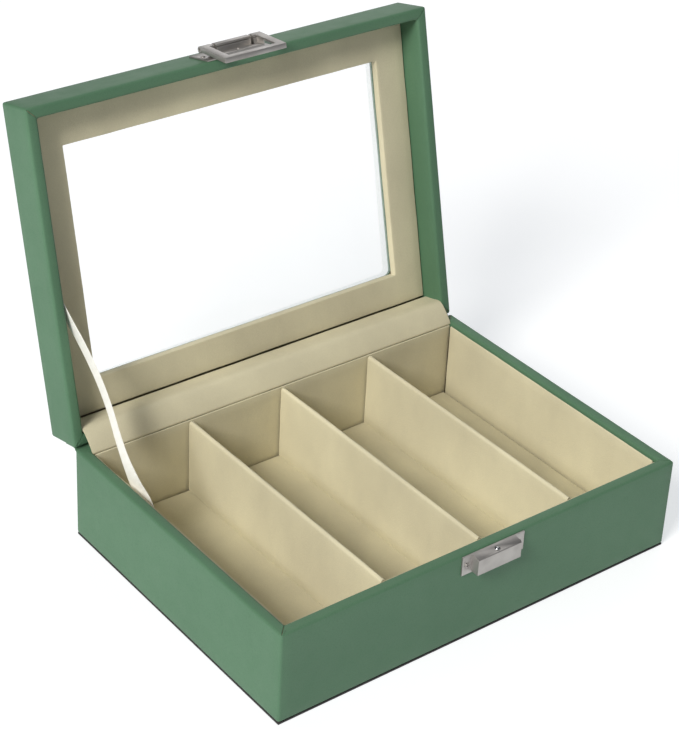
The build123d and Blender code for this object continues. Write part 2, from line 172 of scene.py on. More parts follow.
def pick(piece: Piece, part: Part, test: Test) -> None:
    """Selects, in edit mode, what passes a test.

    Args:
        piece: The piece in edit mode.
        part: Whether points, edges or faces are tested.
        test: Takes the centre and the normal, or an edge's direction.
    """
    bpy.ops.mesh.select_all(action="DESELECT")
    bpy.ops.mesh.select_mode(type=part.value)
    mesh = bmesh.from_edit_mesh(piece.data)
    if part is Part.FACE:
        found = [(face, face.calc_center_median(), face.normal) for face in mesh.faces]
    elif part is Part.EDGE:
        ends = [(edge, edge.verts[0].co, edge.verts[1].co) for edge in mesh.edges]
        found = [(edge, (a + b) / 2, (b - a).normalized()) for edge, a, b in ends]
    else:
        found = [(vertex, vertex.co, vertex.normal) for vertex in mesh.verts]
    for item, centre, normal in found:
        if test(centre, normal):
            item.select_set(True)
    mesh.select_flush_mode()
    bmesh.update_edit_mesh(piece.data)


def modify(piece: Piece, kind: str, **settings: object) -> None:
    """Adds a modifier and applies it.

    Args:
        piece: The piece.
        kind: The modifier's type.
        settings: Its settings.
    """
    activate(piece)
    modifier = piece.modifiers.new(kind, kind)
    for key, value in settings.items():
        setattr(modifier, key, value)
    bpy.ops.object.modifier_apply(modifier=modifier.name)


def box(name: str, low: Sequence[float], high: Sequence[float]) -> Piece:
    """A box as the start of a piece.

    Args:
        name: The piece's name.
        low: Its lowest corner.
        high: Its highest corner.

    Returns:
        The box, with its place in its mesh.
    """
    activate(None)
    middle = [(a + b) / 2 for a, b in zip(low, high)]
    size = [b - a for a, b in zip(low, high)]
    bpy.ops.mesh.primitive_cube_add(size=1, location=middle, scale=size)
    return settle(name)


def settle(name: str) -> Piece:
    """Names the active object and puts its place, turn and scale in its mesh.

    Args:
        name: The piece's name.

    Returns:
        The piece.
    """
    piece = bpy.context.active_object
    bpy.ops.object.transform_apply(location=True, rotation=True, scale=True)
    piece.name = name
    piece.data.name = name
    return piece


def rod(name: str, radius: float, a: Vector, b: Vector, sides: int = 32) -> Piece:
    """A round bar between two points, as the start of a piece.

    Args:
        name: The piece's name.
        radius: Its radius.
        a: The middle of one end.
        b: The middle of the other end.
        sides: How many sides the round has.

    Returns:
        The bar, with its place in its mesh.
    """
    activate(None)
    line = b - a
    bpy.ops.mesh.primitive_cylinder_add(vertices=sides, radius=radius, depth=line.length)
    piece = bpy.context.active_object
    turn = line.to_track_quat("Z", "Y").to_matrix().to_4x4()
    piece.matrix_world = Matrix.Translation((a + b) / 2) @ turn
    return settle(name)


def move(piece: Piece, matrix: Matrix) -> Piece:
    """Moves a piece and puts the move in its mesh.

    Args:
        piece: The piece.
        matrix: The move.

    Returns:
        The piece.
    """
    activate(piece)
    piece.matrix_world = matrix @ piece.matrix_world
    bpy.ops.object.transform_apply(location=True, rotation=True, scale=True)
    return piece


def copied(piece: Piece, name: str) -> Piece:
    """A copy of a piece, under another name and with a mesh of its own."""
    copy = bpy.data.objects.new(name, piece.data.copy())
    bpy.context.scene.collection.objects.link(copy)
    return copy


def joined(name: str, pieces: Sequence[Piece]) -> Piece:
    """Several pieces made one object.

    Args:
        name: The name of the whole.
        pieces: The pieces, which are used up.

    Returns:
        The whole.
    """
    activate(pieces[0])
    for piece in pieces:
        piece.select_set(True)
    if len(pieces) > 1:
        bpy.ops.object.join()
    pieces[0].name = name
    pieces[0].data.name = name
    return pieces[0]


def cut_grid(piece: Piece, spacing: float) -> None:
    """Cuts a piece's faces with evenly spaced planes, so that they can bend.

    Args:
        piece: The piece.
        spacing: The largest distance between two planes.
    """
    corners = [Vector(corner) for corner in piece.bound_box]
    with editing(piece):
        for axis in range(3):
            low = min(corner[axis] for corner in corners)
            high = max(corner[axis] for corner in corners)
            count = int((high - low) / spacing)
            for i in range(1, count + 1):
                place, normal = Vector(), Vector()
                place[axis] = low + (high - low) * i / (count + 1)
                normal[axis] = 1.0
                bpy.ops.mesh.select_all(action="SELECT")
                bpy.ops.mesh.bisect(plane_co=place, plane_no=normal)


def waver(piece: Piece, amount: float, size: float) -> None:
    """Makes a surface a little uneven, as a cover glued by hand is.

    Args:
        piece: The piece, with enough points to bend.
        amount: The distance from the lowest to the highest, about.
        size: The size of the hollows and swells.
    """
    clouds = bpy.data.textures.new(piece.name, "CLOUDS")
    clouds.noise_scale = size
    modify(piece, "DISPLACE", texture=clouds, strength=amount, mid_level=0.5, texture_coords="LOCAL")
    bpy.data.textures.remove(clouds)


def smooth(piece: Piece, angle: float = 35.0) -> None:
    """Shades a piece smooth, where its faces meet at less than an angle in degrees."""
    activate(piece)
    bpy.ops.object.shade_smooth_by_angle(angle=math.radians(angle))


def round_edges(piece: Piece, radius: float, segments: int = 3, angle: float = 50.0) -> None:
    """Rounds, in a number of steps, the edges that are sharper than an angle in degrees."""
    limit = math.radians(angle)
    modify(piece, "BEVEL", width=radius, segments=segments, limit_method="ANGLE", angle_limit=limit)


def sunk(piece: Piece, test: Test, inset: float, depth: float, scale: Sequence[float] = (1, 1, 1)) -> None:
    """Insets the faces that pass a test, pushes what is inside in, and opens it.

    Args:
        piece: The piece.
        test: Takes a face's centre and normal.
        inset: The width of the rim that is left.
        depth: How far the inside is pushed against the faces' normal, or 0 to open it only.
        scale: The inside's scale after the inset.
    """
    with editing(piece):
        pick(piece, Part.FACE, test)
        bpy.ops.mesh.inset(thickness=inset, depth=0)
        if tuple(scale) != (1, 1, 1):
            bpy.ops.transform.resize(value=scale)
        if depth:
            mesh = bmesh.from_edit_mesh(piece.data)
            normal = next(face.normal for face in mesh.faces if face.select)
            bpy.ops.mesh.extrude_region_move(TRANSFORM_OT_translate={"value": -depth * normal})
        bpy.ops.mesh.delete(type="FACE")


def refined(node: str, edge: float) -> Piece:
    """A CAD node's shape with its edges broken, as a piece of its own that replaces it.

    Args:
        node: The node's name.
        edge: The width of the broken edges.

    Returns:
        The piece.
    """
    piece = copied(frame["nodes"][node], node + "_finished")
    with editing(piece):
        bpy.ops.mesh.select_all(action="SELECT")
        bpy.ops.mesh.remove_doubles(threshold=1e-6)
        bpy.ops.mesh.dissolve_limited(angle_limit=math.radians(1.0))
    round_edges(piece, edge, segments=2, angle=40.0)
    smooth(piece, 40.0)
    return piece


# ---------------------------------------------------------------- materials
class NodeSheet:
    """A material's node sheet, with short calls that add nodes and wire them."""

    def __init__(self, name: str) -> None:
        """Starts a material with one Principled shader.

        Args:
            name: The material's name.
        """
        self.material = bpy.data.materials.new(name)
        self.material.use_nodes = True
        self.tree = self.material.node_tree
        self.tree.nodes.clear()
        self.shader = self.tree.nodes.new("ShaderNodeBsdfPrincipled")
        output = self.tree.nodes.new("ShaderNodeOutputMaterial")
        self.tree.links.new(self.shader.outputs["BSDF"], output.inputs["Surface"])
        self.place = self.tree.nodes.new("ShaderNodeTexCoord").outputs["Object"]

    def add(self, kind: str, inputs: dict[str | int, object] | None = None,
            **settings: object) -> bpy.types.Node:
        """Adds a node.

        Args:
            kind: The node's type, without its prefix.
            inputs: Values or sockets for its inputs.
            settings: Its settings.

        Returns:
            The node.
        """
        node = self.tree.nodes.new("ShaderNode" + kind)
        for key, value in settings.items():
            setattr(node, key, value)
        for key, value in (inputs or {}).items():
            self.put(node.inputs[key], value)
        return node

    def put(self, socket: Socket, value: object) -> None:
        """Sets an input to a value, or wires a socket to it."""
        if isinstance(value, bpy.types.NodeSocket):
            self.tree.links.new(value, socket)
        elif isinstance(value, tuple) and len(value) == 3 and socket.type == "RGBA":
            socket.default_value = (*value, 1.0)
        else:
            socket.default_value = value

    def stretched(self, scale: Sequence[float]) -> Socket:
        """The place on the piece, stretched by a scale along X, Y and Z."""
        return self.add("Mapping", {"Vector": self.place, "Scale": scale}).outputs["Vector"]

    def noise(self, scale: float, detail: float = 3.0, place: Socket | None = None) -> Socket:
        """A cloudy pattern.

        Args:
            scale: How many swells there are in a metre, about.
            detail: How many finer steps it has.
            place: Where it is read, or None for the place on the piece.

        Returns:
            Its value, about 0.5 in the middle.
        """
        inputs = {"Vector": place or self.place, "Scale": scale, "Detail": detail}
        return self.add("TexNoise", inputs).outputs["Fac"]

    def cells(self, scale: float) -> Socket:
        """The distance from the middle of the nearest of many cells."""
        node = self.add("TexVoronoi", {"Vector": self.place, "Scale": scale}, feature="SMOOTH_F1")
        return node.outputs["Distance"]

    def ramp(self, value: Socket, low: float, high: float, start: float, end: float) -> Socket:
        """Maps a range of a value to another range, and holds it there."""
        inputs = {"Value": value, 1: low, 2: high, 3: start, 4: end}
        return self.add("MapRange", inputs).outputs["Result"]

    def blend(self, share: Socket, a: object, b: object) -> Socket:
        """A colour between two others."""
        node = self.add("Mix", {0: share, 6: a, 7: b}, data_type="RGBA")
        return node.outputs[2]

    def sum(self, a: Socket, b: Socket, weight: float) -> Socket:
        """One value plus another that counts by a weight."""
        return self.add("Math", {0: b, 1: weight, 2: a}, operation="MULTIPLY_ADD").outputs[0]

    def bump(self, height: Socket, distance: float, strength: float) -> None:
        """Raises the surface's shading by a height."""
        inputs = {"Height": height, "Distance": distance, "Strength": strength}
        self.put(self.shader.inputs["Normal"], self.add("Bump", inputs).outputs["Normal"])

    def shade(self, **values: object) -> bpy.types.Material:
        """Sets the shader's inputs, with spaces for underscores, and gives the material."""
        for key, value in values.items():
            self.put(self.shader.inputs[key.replace("_", " ")], value)
        return self.material


@dataclass(frozen=True)
class Leather:
    """Fine-grained matte faux leather, with painted shade darkening the creases between its pebbles."""

    name: str = "sage_leather"
    light: Colour = (0.088, 0.186, 0.108)
    dark: Colour = (0.076, 0.166, 0.095)
    # Painted shade: the colour laid in the creases between the pebbles, where the bump sinks.
    crease_shade: Colour = (0.060, 0.135, 0.077)

    def material(self) -> bpy.types.Material:
        """The finish as a material."""
        sheet = NodeSheet(self.name)
        patches = sheet.noise(14.0, 4.0)
        pebbles = sheet.cells(1500.0)
        swells = sheet.noise(60.0, 2.0)
        tone = sheet.blend(sheet.ramp(patches, 0.35, 0.65, 0.0, 1.0), self.dark, self.light)
        # Painted shade: darkens the creases between the pebbles.
        tone = sheet.blend(sheet.ramp(pebbles, 0.35, 0.75, 0.0, 0.35), tone, self.crease_shade)
        height = sheet.sum(sheet.ramp(pebbles, 0.0, 0.8, 1.0, 0.0), swells, 1.6)
        sheet.bump(height, 0.00006, 0.45)
        rough = sheet.ramp(sheet.noise(120.0, 3.0), 0.3, 0.7, 0.52, 0.60)
        return sheet.shade(Base_Color=tone, Roughness=rough, Specular_IOR_Level=0.32)


@dataclass(frozen=True)
class Velvet:
    """Short velvet pile over board, brushed a little unevenly; its lighter and darker patches are random tone and
    painted sheen of the nap.
    """

    name: str = "cream_velvet"
    light: Colour = (0.74, 0.685, 0.485)
    dark: Colour = (0.54, 0.495, 0.355)

    def material(self) -> bpy.types.Material:
        """The finish as a material."""
        sheet = NodeSheet(self.name)
        # Random tone and painted sheen: lighter and darker patches where the pile lies brushed.
        nap_sheen_and_tone = sheet.noise(22.0, 5.0, sheet.stretched((1.0, 1.0, 0.55)))
        pile = sheet.noise(3400.0, 3.0)
        tufts = sheet.noise(700.0, 3.0)
        share = sheet.sum(sheet.ramp(nap_sheen_and_tone, 0.3, 0.7, 0.1, 0.8), sheet.ramp(pile, 0.3, 0.7, -0.5, 0.5), 0.4)
        tone = sheet.blend(share, self.dark, self.light)
        sheet.bump(sheet.sum(pile, tufts, 0.8), 0.00022, 0.6)
        return sheet.shade(
            Base_Color=tone, Roughness=0.95, Specular_IOR_Level=0.15,
            Sheen_Weight=0.25, Sheen_Roughness=0.35, Sheen_Tint=(1.0, 0.96, 0.84))


@dataclass(frozen=True)
class Satin:
    """Woven satin ribbon with fine threads across it."""

    name: str = "satin_ribbon"
    light: Colour = (0.97, 0.96, 0.91)
    dark: Colour = (0.90, 0.88, 0.82)

    def material(self) -> bpy.types.Material:
        """The finish as a material."""
        sheet = NodeSheet(self.name)
        uv = sheet.tree.nodes.new("ShaderNodeUVMap").outputs["UV"]
        threads = sheet.add("TexWave", {"Vector": uv, "Scale": 40.0, "Distortion": 0.6}, bands_direction="X")
        across = sheet.add("TexWave", {"Vector": uv, "Scale": 9.0, "Distortion": 0.4}, bands_direction="Y")
        weave = sheet.sum(threads.outputs["Fac"], across.outputs["Fac"], 0.5)
        tone = sheet.blend(sheet.ramp(weave, 0.2, 1.3, 0.0, 1.0), self.dark, self.light)
        sheet.bump(weave, 0.00004, 0.5)
        return sheet.shade(
            Base_Color=tone, Roughness=0.42, Sheen_Weight=0.2, Sheen_Roughness=0.3, Anisotropic=0.4)


@dataclass(frozen=True)
class Metal:
    """Plated metal with fine brushing and a little handling wear."""

    name: str
    light: Colour
    dark: Colour
    roughness: float
    brushing: float

    def material(self) -> bpy.types.Material:
        """The finish as a material."""
        sheet = NodeSheet(self.name)
        lines = sheet.noise(5200.0, 3.0, sheet.stretched((0.03, 1.0, 1.0)))
        smudges = sheet.noise(90.0, 3.0)
        tone = sheet.blend(sheet.ramp(smudges, 0.35, 0.7, 0.0, 1.0), self.light, self.dark)
        rough = sheet.ramp(smudges, 0.3, 0.7, self.roughness, self.roughness + 0.1)
        sheet.bump(lines, 0.00003, self.brushing)
        return sheet.shade(Base_Color=tone, Roughness=rough, Metallic=1.0)


@dataclass(frozen=True)
class Pane:
    """Clear glass with a breath of dust."""

    name: str = "clear_glass"

    def material(self) -> bpy.types.Material:
        """The finish as a material."""
        sheet = NodeSheet(self.name)
        dust = sheet.ramp(sheet.noise(40.0, 5.0), 0.45, 0.8, 0.0, 0.02)
        return sheet.shade(
            Base_Color=(0.98, 1.0, 0.99), Roughness=dust, Transmission_Weight=1.0, IOR=1.45, Alpha=0.22)


@dataclass(frozen=True)
class Board:
    """Pressed fibreboard with flecks."""

    name: str = "case_board"
    light: Colour = (0.42, 0.31, 0.20)
    dark: Colour = (0.24, 0.16, 0.10)

    def material(self) -> bpy.types.Material:
        """The finish as a material."""
        sheet = NodeSheet(self.name)
        flecks = sheet.noise(900.0, 6.0, sheet.stretched((0.35, 1.0, 1.0)))
        tone = sheet.blend(sheet.ramp(flecks, 0.4, 0.65, 0.0, 1.0), self.light, self.dark)
        sheet.bump(flecks, 0.0001, 0.4)
        return sheet.shade(Base_Color=tone, Roughness=0.85)


@dataclass(frozen=True)
class Card:
    """Black backing card with a pressed grain."""

    name: str = "bottom_paper"
    light: Colour = (0.030, 0.029, 0.028)
    dark: Colour = (0.012, 0.012, 0.012)

    def material(self) -> bpy.types.Material:
        """The finish as a material."""
        sheet = NodeSheet(self.name)
        grain = sheet.cells(600.0)
        fibres = sheet.noise(300.0, 5.0)
        tone = sheet.blend(sheet.ramp(fibres, 0.3, 0.7, 0.0, 1.0), self.dark, self.light)
        sheet.bump(sheet.sum(grain, fibres, 0.5), 0.0001, 0.5)
        return sheet.shade(Base_Color=tone, Roughness=0.8)


class Finishes:
    """The finish for each of the record's slots, made once."""

    def __init__(self) -> None:
        """Makes the materials."""
        nickel = Metal("nickel", (0.46, 0.44, 0.42), (0.39, 0.37, 0.355), 0.46, 0.3)
        steel = Metal("steel", (0.56, 0.56, 0.57), (0.38, 0.38, 0.40), 0.16, 0.2)
        kinds = {
            Slot.LEATHER: Leather(), Slot.VELVET: Velvet(), Slot.RIBBON: Satin(), Slot.BOARD: Board(),
            Slot.BOTTOM: Card(), Slot.GLASS: Pane(), Slot.NICKEL: nickel, Slot.STEEL: steel,
        }
        self.materials = {slot: kind.material() for slot, kind in kinds.items()}

    def dress(self, piece: Piece, slot: Slot) -> None:
        """Gives a piece the slot's finish."""
        piece.data.materials.clear()
        piece.data.materials.append(self.materials[slot])

    def dress_nodes(self) -> None:
        """Gives every CAD node the finish of its own slot."""
        for row in frame["record"]["subparts"]:
            node = frame["nodes"][row["node"]]
            material = self.materials[Slot(row["material_slot"])]
            if not node.material_slots:
                node.data.materials.append(material)
            for place in node.material_slots:
                place.material = material


@dataclass
class Maker:
    """What every sub-assembly uses to finish its pieces."""

    finishes: Finishes

    def hand_over(self, piece: Piece, slot: Slot, body: Body, *nodes: str) -> Piece:
        """Dresses a piece, puts it on its body and hides the CAD nodes that it replaces.

        Args:
            piece: The piece.
            slot: The slot of its finish.
            body: The body that it rides on.
            nodes: The CAD nodes that it replaces.

        Returns:
            The piece.
        """
        self.finishes.dress(piece, slot)
        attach(piece, body.value)
        if nodes:
            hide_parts(*nodes)
        LOG.info("%s: %d faces", piece.name, len(piece.data.polygons))
        return piece


# ---------------------------------------------------------------- covers
@dataclass
class Cover(Maker):
    """Leather and velvet over board, which the base and the lid share."""

    leather: float = 0.0005
    leather_edge: float = 0.0014
    leather_grid: float = 0.0075
    leather_waver: float = 0.00022
    velvet_edge: float = 0.0005
    velvet_seam: float = 0.0005
    velvet_grid: float = 0.006
    velvet_waver: float = 0.00045
    pleat_count: int = 2
    pleat_width: float = 0.0010
    pleat_round: float = 0.0003
    pleat_proud: float = 0.000216
    pleat_sunk: float = 0.000252
    pleat_taper: tuple[float, float] = (0.25, 0.4)
    pleat_reach: float = 1.25
    pleat_shorter: float = 0.38
    pleat_fan: float = 15.0
    pleat_start: float = 0.0024
    mitre_width: float = 0.00035
    mitre_depth: float = 0.00056
    mitre_drop: float = 0.0030
    mitre_clear: float = 0.001

    def wrap(self, piece: Piece) -> None:
        """Rounds, bends and thickens a leather wrap, given its outer surface."""
        round_edges(piece, self.leather_edge)
        cut_grid(piece, self.leather_grid)
        waver(piece, self.leather_waver, 0.05)
        modify(piece, "SOLIDIFY", thickness=self.leather, offset=-1.0)
        smooth(piece)

    def velvet(self, name: str, low: Sequence[float], high: Sequence[float]) -> Piece:
        """A board covered with velvet, between its lowest and its highest corner."""
        piece = self.board(name, low, high)
        self.pad(piece, self.velvet_edge)
        return piece

    def board(self, name: str, low: Sequence[float], high: Sequence[float]) -> Piece:
        """A box that leaves a seam open to its neighbours on its four sides."""
        seam = Vector((self.velvet_seam, self.velvet_seam, 0.0))
        return box(name, Vector(low) + seam, Vector(high) - seam)

    def pad(self, piece: Piece, edge: float) -> None:
        """Rounds a velvet piece's edges by a radius and makes its faces a little soft."""
        round_edges(piece, edge)
        cut_grid(piece, self.velvet_grid)
        waver(piece, self.velvet_waver, 0.022)
        smooth(piece, 50.0)

    def mitre(self, piece: Piece, low: Vector, high: Vector, rim: float, face: float, up: float) -> None:
        """Opens the leather's mitre at the four corners of a rim, and a little way down the edges.

        Args:
            piece: The wrap.
            low: The rim's lowest corner.
            high: Its highest corner.
            rim: The rim's width.
            face: The height of the rim's face.
            up: Which way the face looks: 1 up or -1 down.
        """
        half = self.mitre_width / 2
        reach = rim * math.sqrt(2)
        clear = self.mitre_clear
        across = [(-clear, -half, -self.mitre_depth), (reach, half, clear)]
        down = [(-clear, -half, -self.mitre_drop), (self.mitre_depth, half, clear)]
        for start, end in (across, down):
            if up < 0:
                start, end = (start[0], start[1], -end[2]), (end[0], end[1], -start[2])
            cutters = []
            for x, y in ((low.x, low.y), (high.x, low.y), (high.x, high.y), (low.x, high.y)):
                inward = math.atan2(low.y + high.y - 2 * y, low.x + high.x - 2 * x)
                inward = math.copysign(math.pi / 4 if abs(inward) < math.pi / 2 else 3 * math.pi / 4, inward)
                place = Matrix.Translation((x, y, face)) @ Matrix.Rotation(inward, 4, "Z")
                cutters.append(move(box("cutter", start, end), place))
            cutter = joined("cutter", cutters)
            modify(piece, "BOOLEAN", object=cutter, operation="DIFFERENCE", solver="EXACT")
            bpy.data.objects.remove(cutter)
        smooth(piece)

    def pleats(self, name: str, low: Vector, high: Vector, rim: float, face: float, up: float) -> Piece:
        """The folds of the leather at the four corners of a rim.

        Args:
            name: The piece's name.
            low: The rim's lowest corner.
            high: Its highest corner.
            rim: The rim's width.
            face: The height of the rim's face.
            up: Which way the face looks: 1 up or -1 down.

        Returns:
            The folds as one piece.
        """
        folds = []
        length = rim * self.pleat_reach
        half = self.pleat_width / 2
        bottom, top = (-self.pleat_sunk, self.pleat_proud) if up > 0 else (-self.pleat_proud, self.pleat_sunk)
        for side_x, side_y in ((-1, -1), (1, -1), (1, 1), (-1, 1)):
            corner = Vector((high.x if side_x > 0 else low.x, high.y if side_y > 0 else low.y, face))
            for i in range(self.pleat_count):
                share = i / (self.pleat_count - 1) * 2 - 1
                reach = length * (1.0 - self.pleat_shorter * abs(share))
                fold = box(name, (self.pleat_start, -half, bottom), (reach, half, top))
                with editing(fold):
                    pick(fold, Part.VERT, lambda centre, normal: centre.x > reach / 2)
                    bpy.ops.transform.resize(value=(1, *self.pleat_taper))
                round_edges(fold, self.pleat_round, angle=30.0)
                inward = math.atan2(-side_y, -side_x) + math.radians(self.pleat_fan) * share
                folds.append(move(fold, Matrix.Translation(corner) @ Matrix.Rotation(inward, 4, "Z")))
        piece = joined(name, folds)
        smooth(piece, 60.0)
        return piece


# ---------------------------------------------------------------- base
@dataclass
class Base(Cover):
    """The base: leather, velvet linings, floor pad, dividers and bottom sheet."""

    turn_down: float = 0.010
    turn_under: float = 0.0086
    divider_round: float = 0.0017
    divider_edge: float = 0.0003
    card_edge: float = 0.0002

    def build(self) -> None:
        """Builds and dresses all the base's pieces."""
        self.build_leather()
        self.build_linings()
        self.build_dividers()
        self.build_floor()
        self.build_bottom()

    def build_leather(self) -> None:
        """The leather, over the rim and turned under the walls, and its corner folds."""
        low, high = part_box("base_leather")
        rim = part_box("base_left_lining")[0].x - low.x
        piece = box("base_leather_wrap", low, high)
        sunk(piece, lambda centre, normal: normal.z > 0.9, rim, self.turn_down)
        sunk(piece, lambda centre, normal: normal.z < -0.9, self.turn_under, 0.0)
        self.wrap(piece)
        self.mitre(piece, low, high, rim, high.z, 1)
        self.hand_over(piece, Slot.LEATHER, Body.BASE, "base_leather")
        folds = self.pleats("base_corner_folds", low, high, rim, high.z, 1)
        self.hand_over(folds, Slot.LEATHER, Body.BASE)

    def build_linings(self) -> None:
        """The four velvet-covered linings."""
        for side in ("front", "back", "left", "right"):
            node = f"base_{side}_lining"
            low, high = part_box(node)
            self.hand_over(self.velvet(node + "_velvet", low, high), Slot.VELVET, Body.BASE, node)

    def build_dividers(self) -> None:
        """The velvet-covered dividers, with round tops."""
        for side in ("left", "middle", "right"):
            node = f"divider_{side}"
            low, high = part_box(node)
            piece = self.board(node + "_velvet", low, high)
            with editing(piece):
                pick(piece, Part.EDGE, lambda centre, along: centre.z > high.z - 1e-5 and abs(along.y) > 0.9)
                bpy.ops.mesh.bevel(offset=self.divider_round, segments=5, affect="EDGES")
            self.pad(piece, self.divider_edge)
            self.hand_over(piece, Slot.VELVET, Body.BASE, node)

    def build_floor(self) -> None:
        """The velvet-covered floor pad."""
        low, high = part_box("base_floor_pad")
        piece = self.velvet("floor_pad_velvet", low, high)
        self.hand_over(piece, Slot.VELVET, Body.BASE, "base_floor_pad")

    def build_bottom(self) -> None:
        """The card under the base, with its edge a little worn."""
        low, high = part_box("base_bottom_sheet")
        piece = box("bottom_card", low, high)
        round_edges(piece, self.card_edge)
        smooth(piece)
        self.hand_over(piece, Slot.BOTTOM, Body.BASE, "base_bottom_sheet")


# ---------------------------------------------------------------- lid
@dataclass
class Lid(Cover):
    """The lid: leather, window frame, glass and lining, built shut and turned open."""

    window_round: float = 0.004
    frame_seam: float = 0.00115
    glass_edge: float = 0.0003

    def build(self) -> None:
        """Builds and dresses all the lid's pieces."""
        self.build_leather()
        self.build_window()
        self.build_lining()
        self.build_glass()

    def finish(self, piece: Piece, slot: Slot, *nodes: str) -> Piece:
        """Turns a piece open and hands it over."""
        return self.hand_over(move(piece, OPENING), slot, Body.LID, *nodes)

    def build_leather(self) -> None:
        """The leather: outside, rim, inner walls and the window's turned edge."""
        low, high = shut_box("lid_leather")
        strip_low, strip_high = shut_box("window_left_strip")
        rim = strip_low.x - low.x
        glass_high = shut_box("lid_glass")[1].z
        half = window_half()
        inset = high.x - half[0]
        piece = box("lid_leather_wrap", low, high)
        sunk(piece, lambda centre, normal: normal.z < -0.9, rim, strip_high.z - low.z)
        scale = (1, half[1] / (high.y - inset), 1)
        sunk(piece, lambda centre, normal: normal.z > 0.9, inset, high.z - glass_high, scale)
        with editing(piece):
            pick(piece, Part.EDGE,
                 lambda centre, along: abs(along.z) > 0.9 and abs(centre.x) < half[0] + 1e-4)
            bpy.ops.mesh.bevel(offset=self.window_round, segments=6, affect="EDGES")
        self.wrap(piece)
        self.mitre(piece, low, high, rim, low.z, -1)
        self.finish(piece, Slot.LEATHER, "lid_leather")
        folds = self.pleats("lid_corner_folds", low, high, rim, low.z, -1)
        self.finish(folds, Slot.LEATHER)

    def build_window(self) -> None:
        """The velvet-covered frame round the window, in one piece."""
        low, high = shut_box("window_front_strip")
        high.y = shut_box("window_back_strip")[1].y
        strip = shut_box("window_left_strip")[1]
        half = (-strip.x, strip.y)
        inset = high.x - half[0]
        scale = (1, half[1] / (high.y - inset), 1)
        piece = self.board("window_frame_velvet", low, high)
        inset -= self.velvet_seam
        sunk(piece, lambda centre, normal: normal.z > 0.9, inset, 0.0, scale)
        sunk(piece, lambda centre, normal: normal.z < -0.9, inset, 0.0, scale)
        with editing(piece):
            pick(piece, Part.EDGE, lambda centre, along: max(
                abs(centre.x) - half[0], abs(centre.y) - half[1]) < 1e-4)
            bpy.ops.mesh.bridge_edge_loops()
            bpy.ops.mesh.select_all(action="SELECT")
            bpy.ops.mesh.normals_make_consistent(inside=False)
            seam = Vector((0.0, shut_box("lid_back_lining")[0].y - self.frame_seam, 0.0))
            bpy.ops.mesh.bisect(plane_co=seam, plane_no=(0, 1, 0), clear_outer=True, use_fill=True)
        self.pad(piece, self.velvet_edge)
        strips = [f"window_{side}_strip" for side in ("front", "back", "left", "right")]
        self.finish(piece, Slot.VELVET, *strips)

    def build_lining(self) -> None:
        """The velvet-covered lining on the hinge side."""
        low, high = shut_box("lid_back_lining")
        high.z -= 2 * self.velvet_seam
        piece = self.velvet("lid_back_lining_velvet", low, high)
        self.finish(piece, Slot.VELVET, "lid_back_lining")

    def build_glass(self) -> None:
        """The glass, with ground edges."""
        low, high = shut_box("lid_glass")
        piece = box("glass_pane", low, high)
        round_edges(piece, self.glass_edge, segments=1)
        smooth(piece, 20.0)
        self.finish(piece, Slot.GLASS, "lid_glass")


# ---------------------------------------------------------------- hardware
@dataclass
class Screw:
    """A cross-slotted screw head with a shallow dome, and its shank."""

    radius: float
    height: float
    dome: float = 0.55
    slot_width: float = 0.0004
    slot_reach: float = 0.62
    slot_floor: float = 0.35
    shank: float = 0.0008
    shank_edge: float = 0.0003

    def head(self, name: str, middle: Vector, out: Vector) -> Piece:
        """The head, with its cross cut.

        Args:
            name: The piece's name.
            middle: The middle of the head's foot.
            out: The way that the head faces.

        Returns:
            The piece.
        """
        piece = rod(name, self.radius, Vector(), Vector((0, 0, self.height)), sides=28)
        with editing(piece):
            pick(piece, Part.EDGE, lambda centre, along: centre.z > self.height - 1e-6)
            bpy.ops.mesh.bevel(offset=self.height * self.dome, segments=3, affect="EDGES")
        reach, half = self.radius * self.slot_reach, self.slot_width / 2
        for x, y in ((reach, half), (half, reach)):
            cutter = box("cutter", (-x, -y, self.height * self.slot_floor), (x, y, self.height * 2))
            modify(piece, "BOOLEAN", object=cutter, operation="DIFFERENCE", solver="EXACT")
            bpy.data.objects.remove(cutter)
        smooth(piece, 30.0)
        turn = out.to_track_quat("Z", "Y").to_matrix().to_4x4()
        return move(piece, Matrix.Translation(middle) @ turn)


@dataclass
class Hardware(Maker):
    """The catch, the hasp and the hinges."""

    edge: float = 0.00036
    latch_screw: Screw = field(default_factory=lambda: Screw(0.0013, 0.0005))

    def build(self) -> None:
        """Builds and dresses the metal pieces."""
        self.finished("catch_body", Slot.NICKEL, Body.BASE)
        self.finished("hasp_plate", Slot.NICKEL, Body.LID)
        self.finished("hasp_loop", Slot.NICKEL, Body.HASP)
        for side in ("left", "right"):
            self.finished(f"hinge_{side}_base_leaf", Slot.STEEL, Body.BASE)
            self.finished(f"hinge_{side}_lid_leaf", Slot.STEEL, Body.LID)
        self.latch_screws("catch_screws", Body.BASE, Matrix.Identity(4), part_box("catch_screws"))
        self.latch_screws("hasp_screws", Body.LID, OPENING, shut_box("hasp_screws"))

    def finished(self, node: str, slot: Slot, body: Body) -> None:
        """A CAD node's shape with its edges broken."""
        self.hand_over(refined(node, self.edge), slot, body, node)

    def latch_screws(self, node: str, body: Body, turn: Matrix, ends: tuple[Vector, Vector]) -> None:
        """The two dome-headed screws of a latch plate.

        Args:
            node: The CAD node that they replace.
            body: The body that they ride on.
            turn: Turns them from where they are drawn.
            ends: The box of the two screws where they are drawn.
        """
        low, high = ends
        z = (low.z + high.z) / 2
        face = low.y + self.latch_screw.height
        parts = []
        for x in (low.x + self.latch_screw.radius, high.x - self.latch_screw.radius):
            parts.append(self.latch_screw.head(node, Vector((x, face, z)), Vector((0, -1, 0))))
            shank = rod(node, self.latch_screw.shank, Vector((x, face, z)), Vector((x, high.y, z)), sides=16)
            round_edges(shank, self.latch_screw.shank_edge)
            smooth(shank)
            parts.append(shank)
        piece = move(joined(node + "_finished", parts), turn)
        self.hand_over(piece, Slot.NICKEL, body, node)


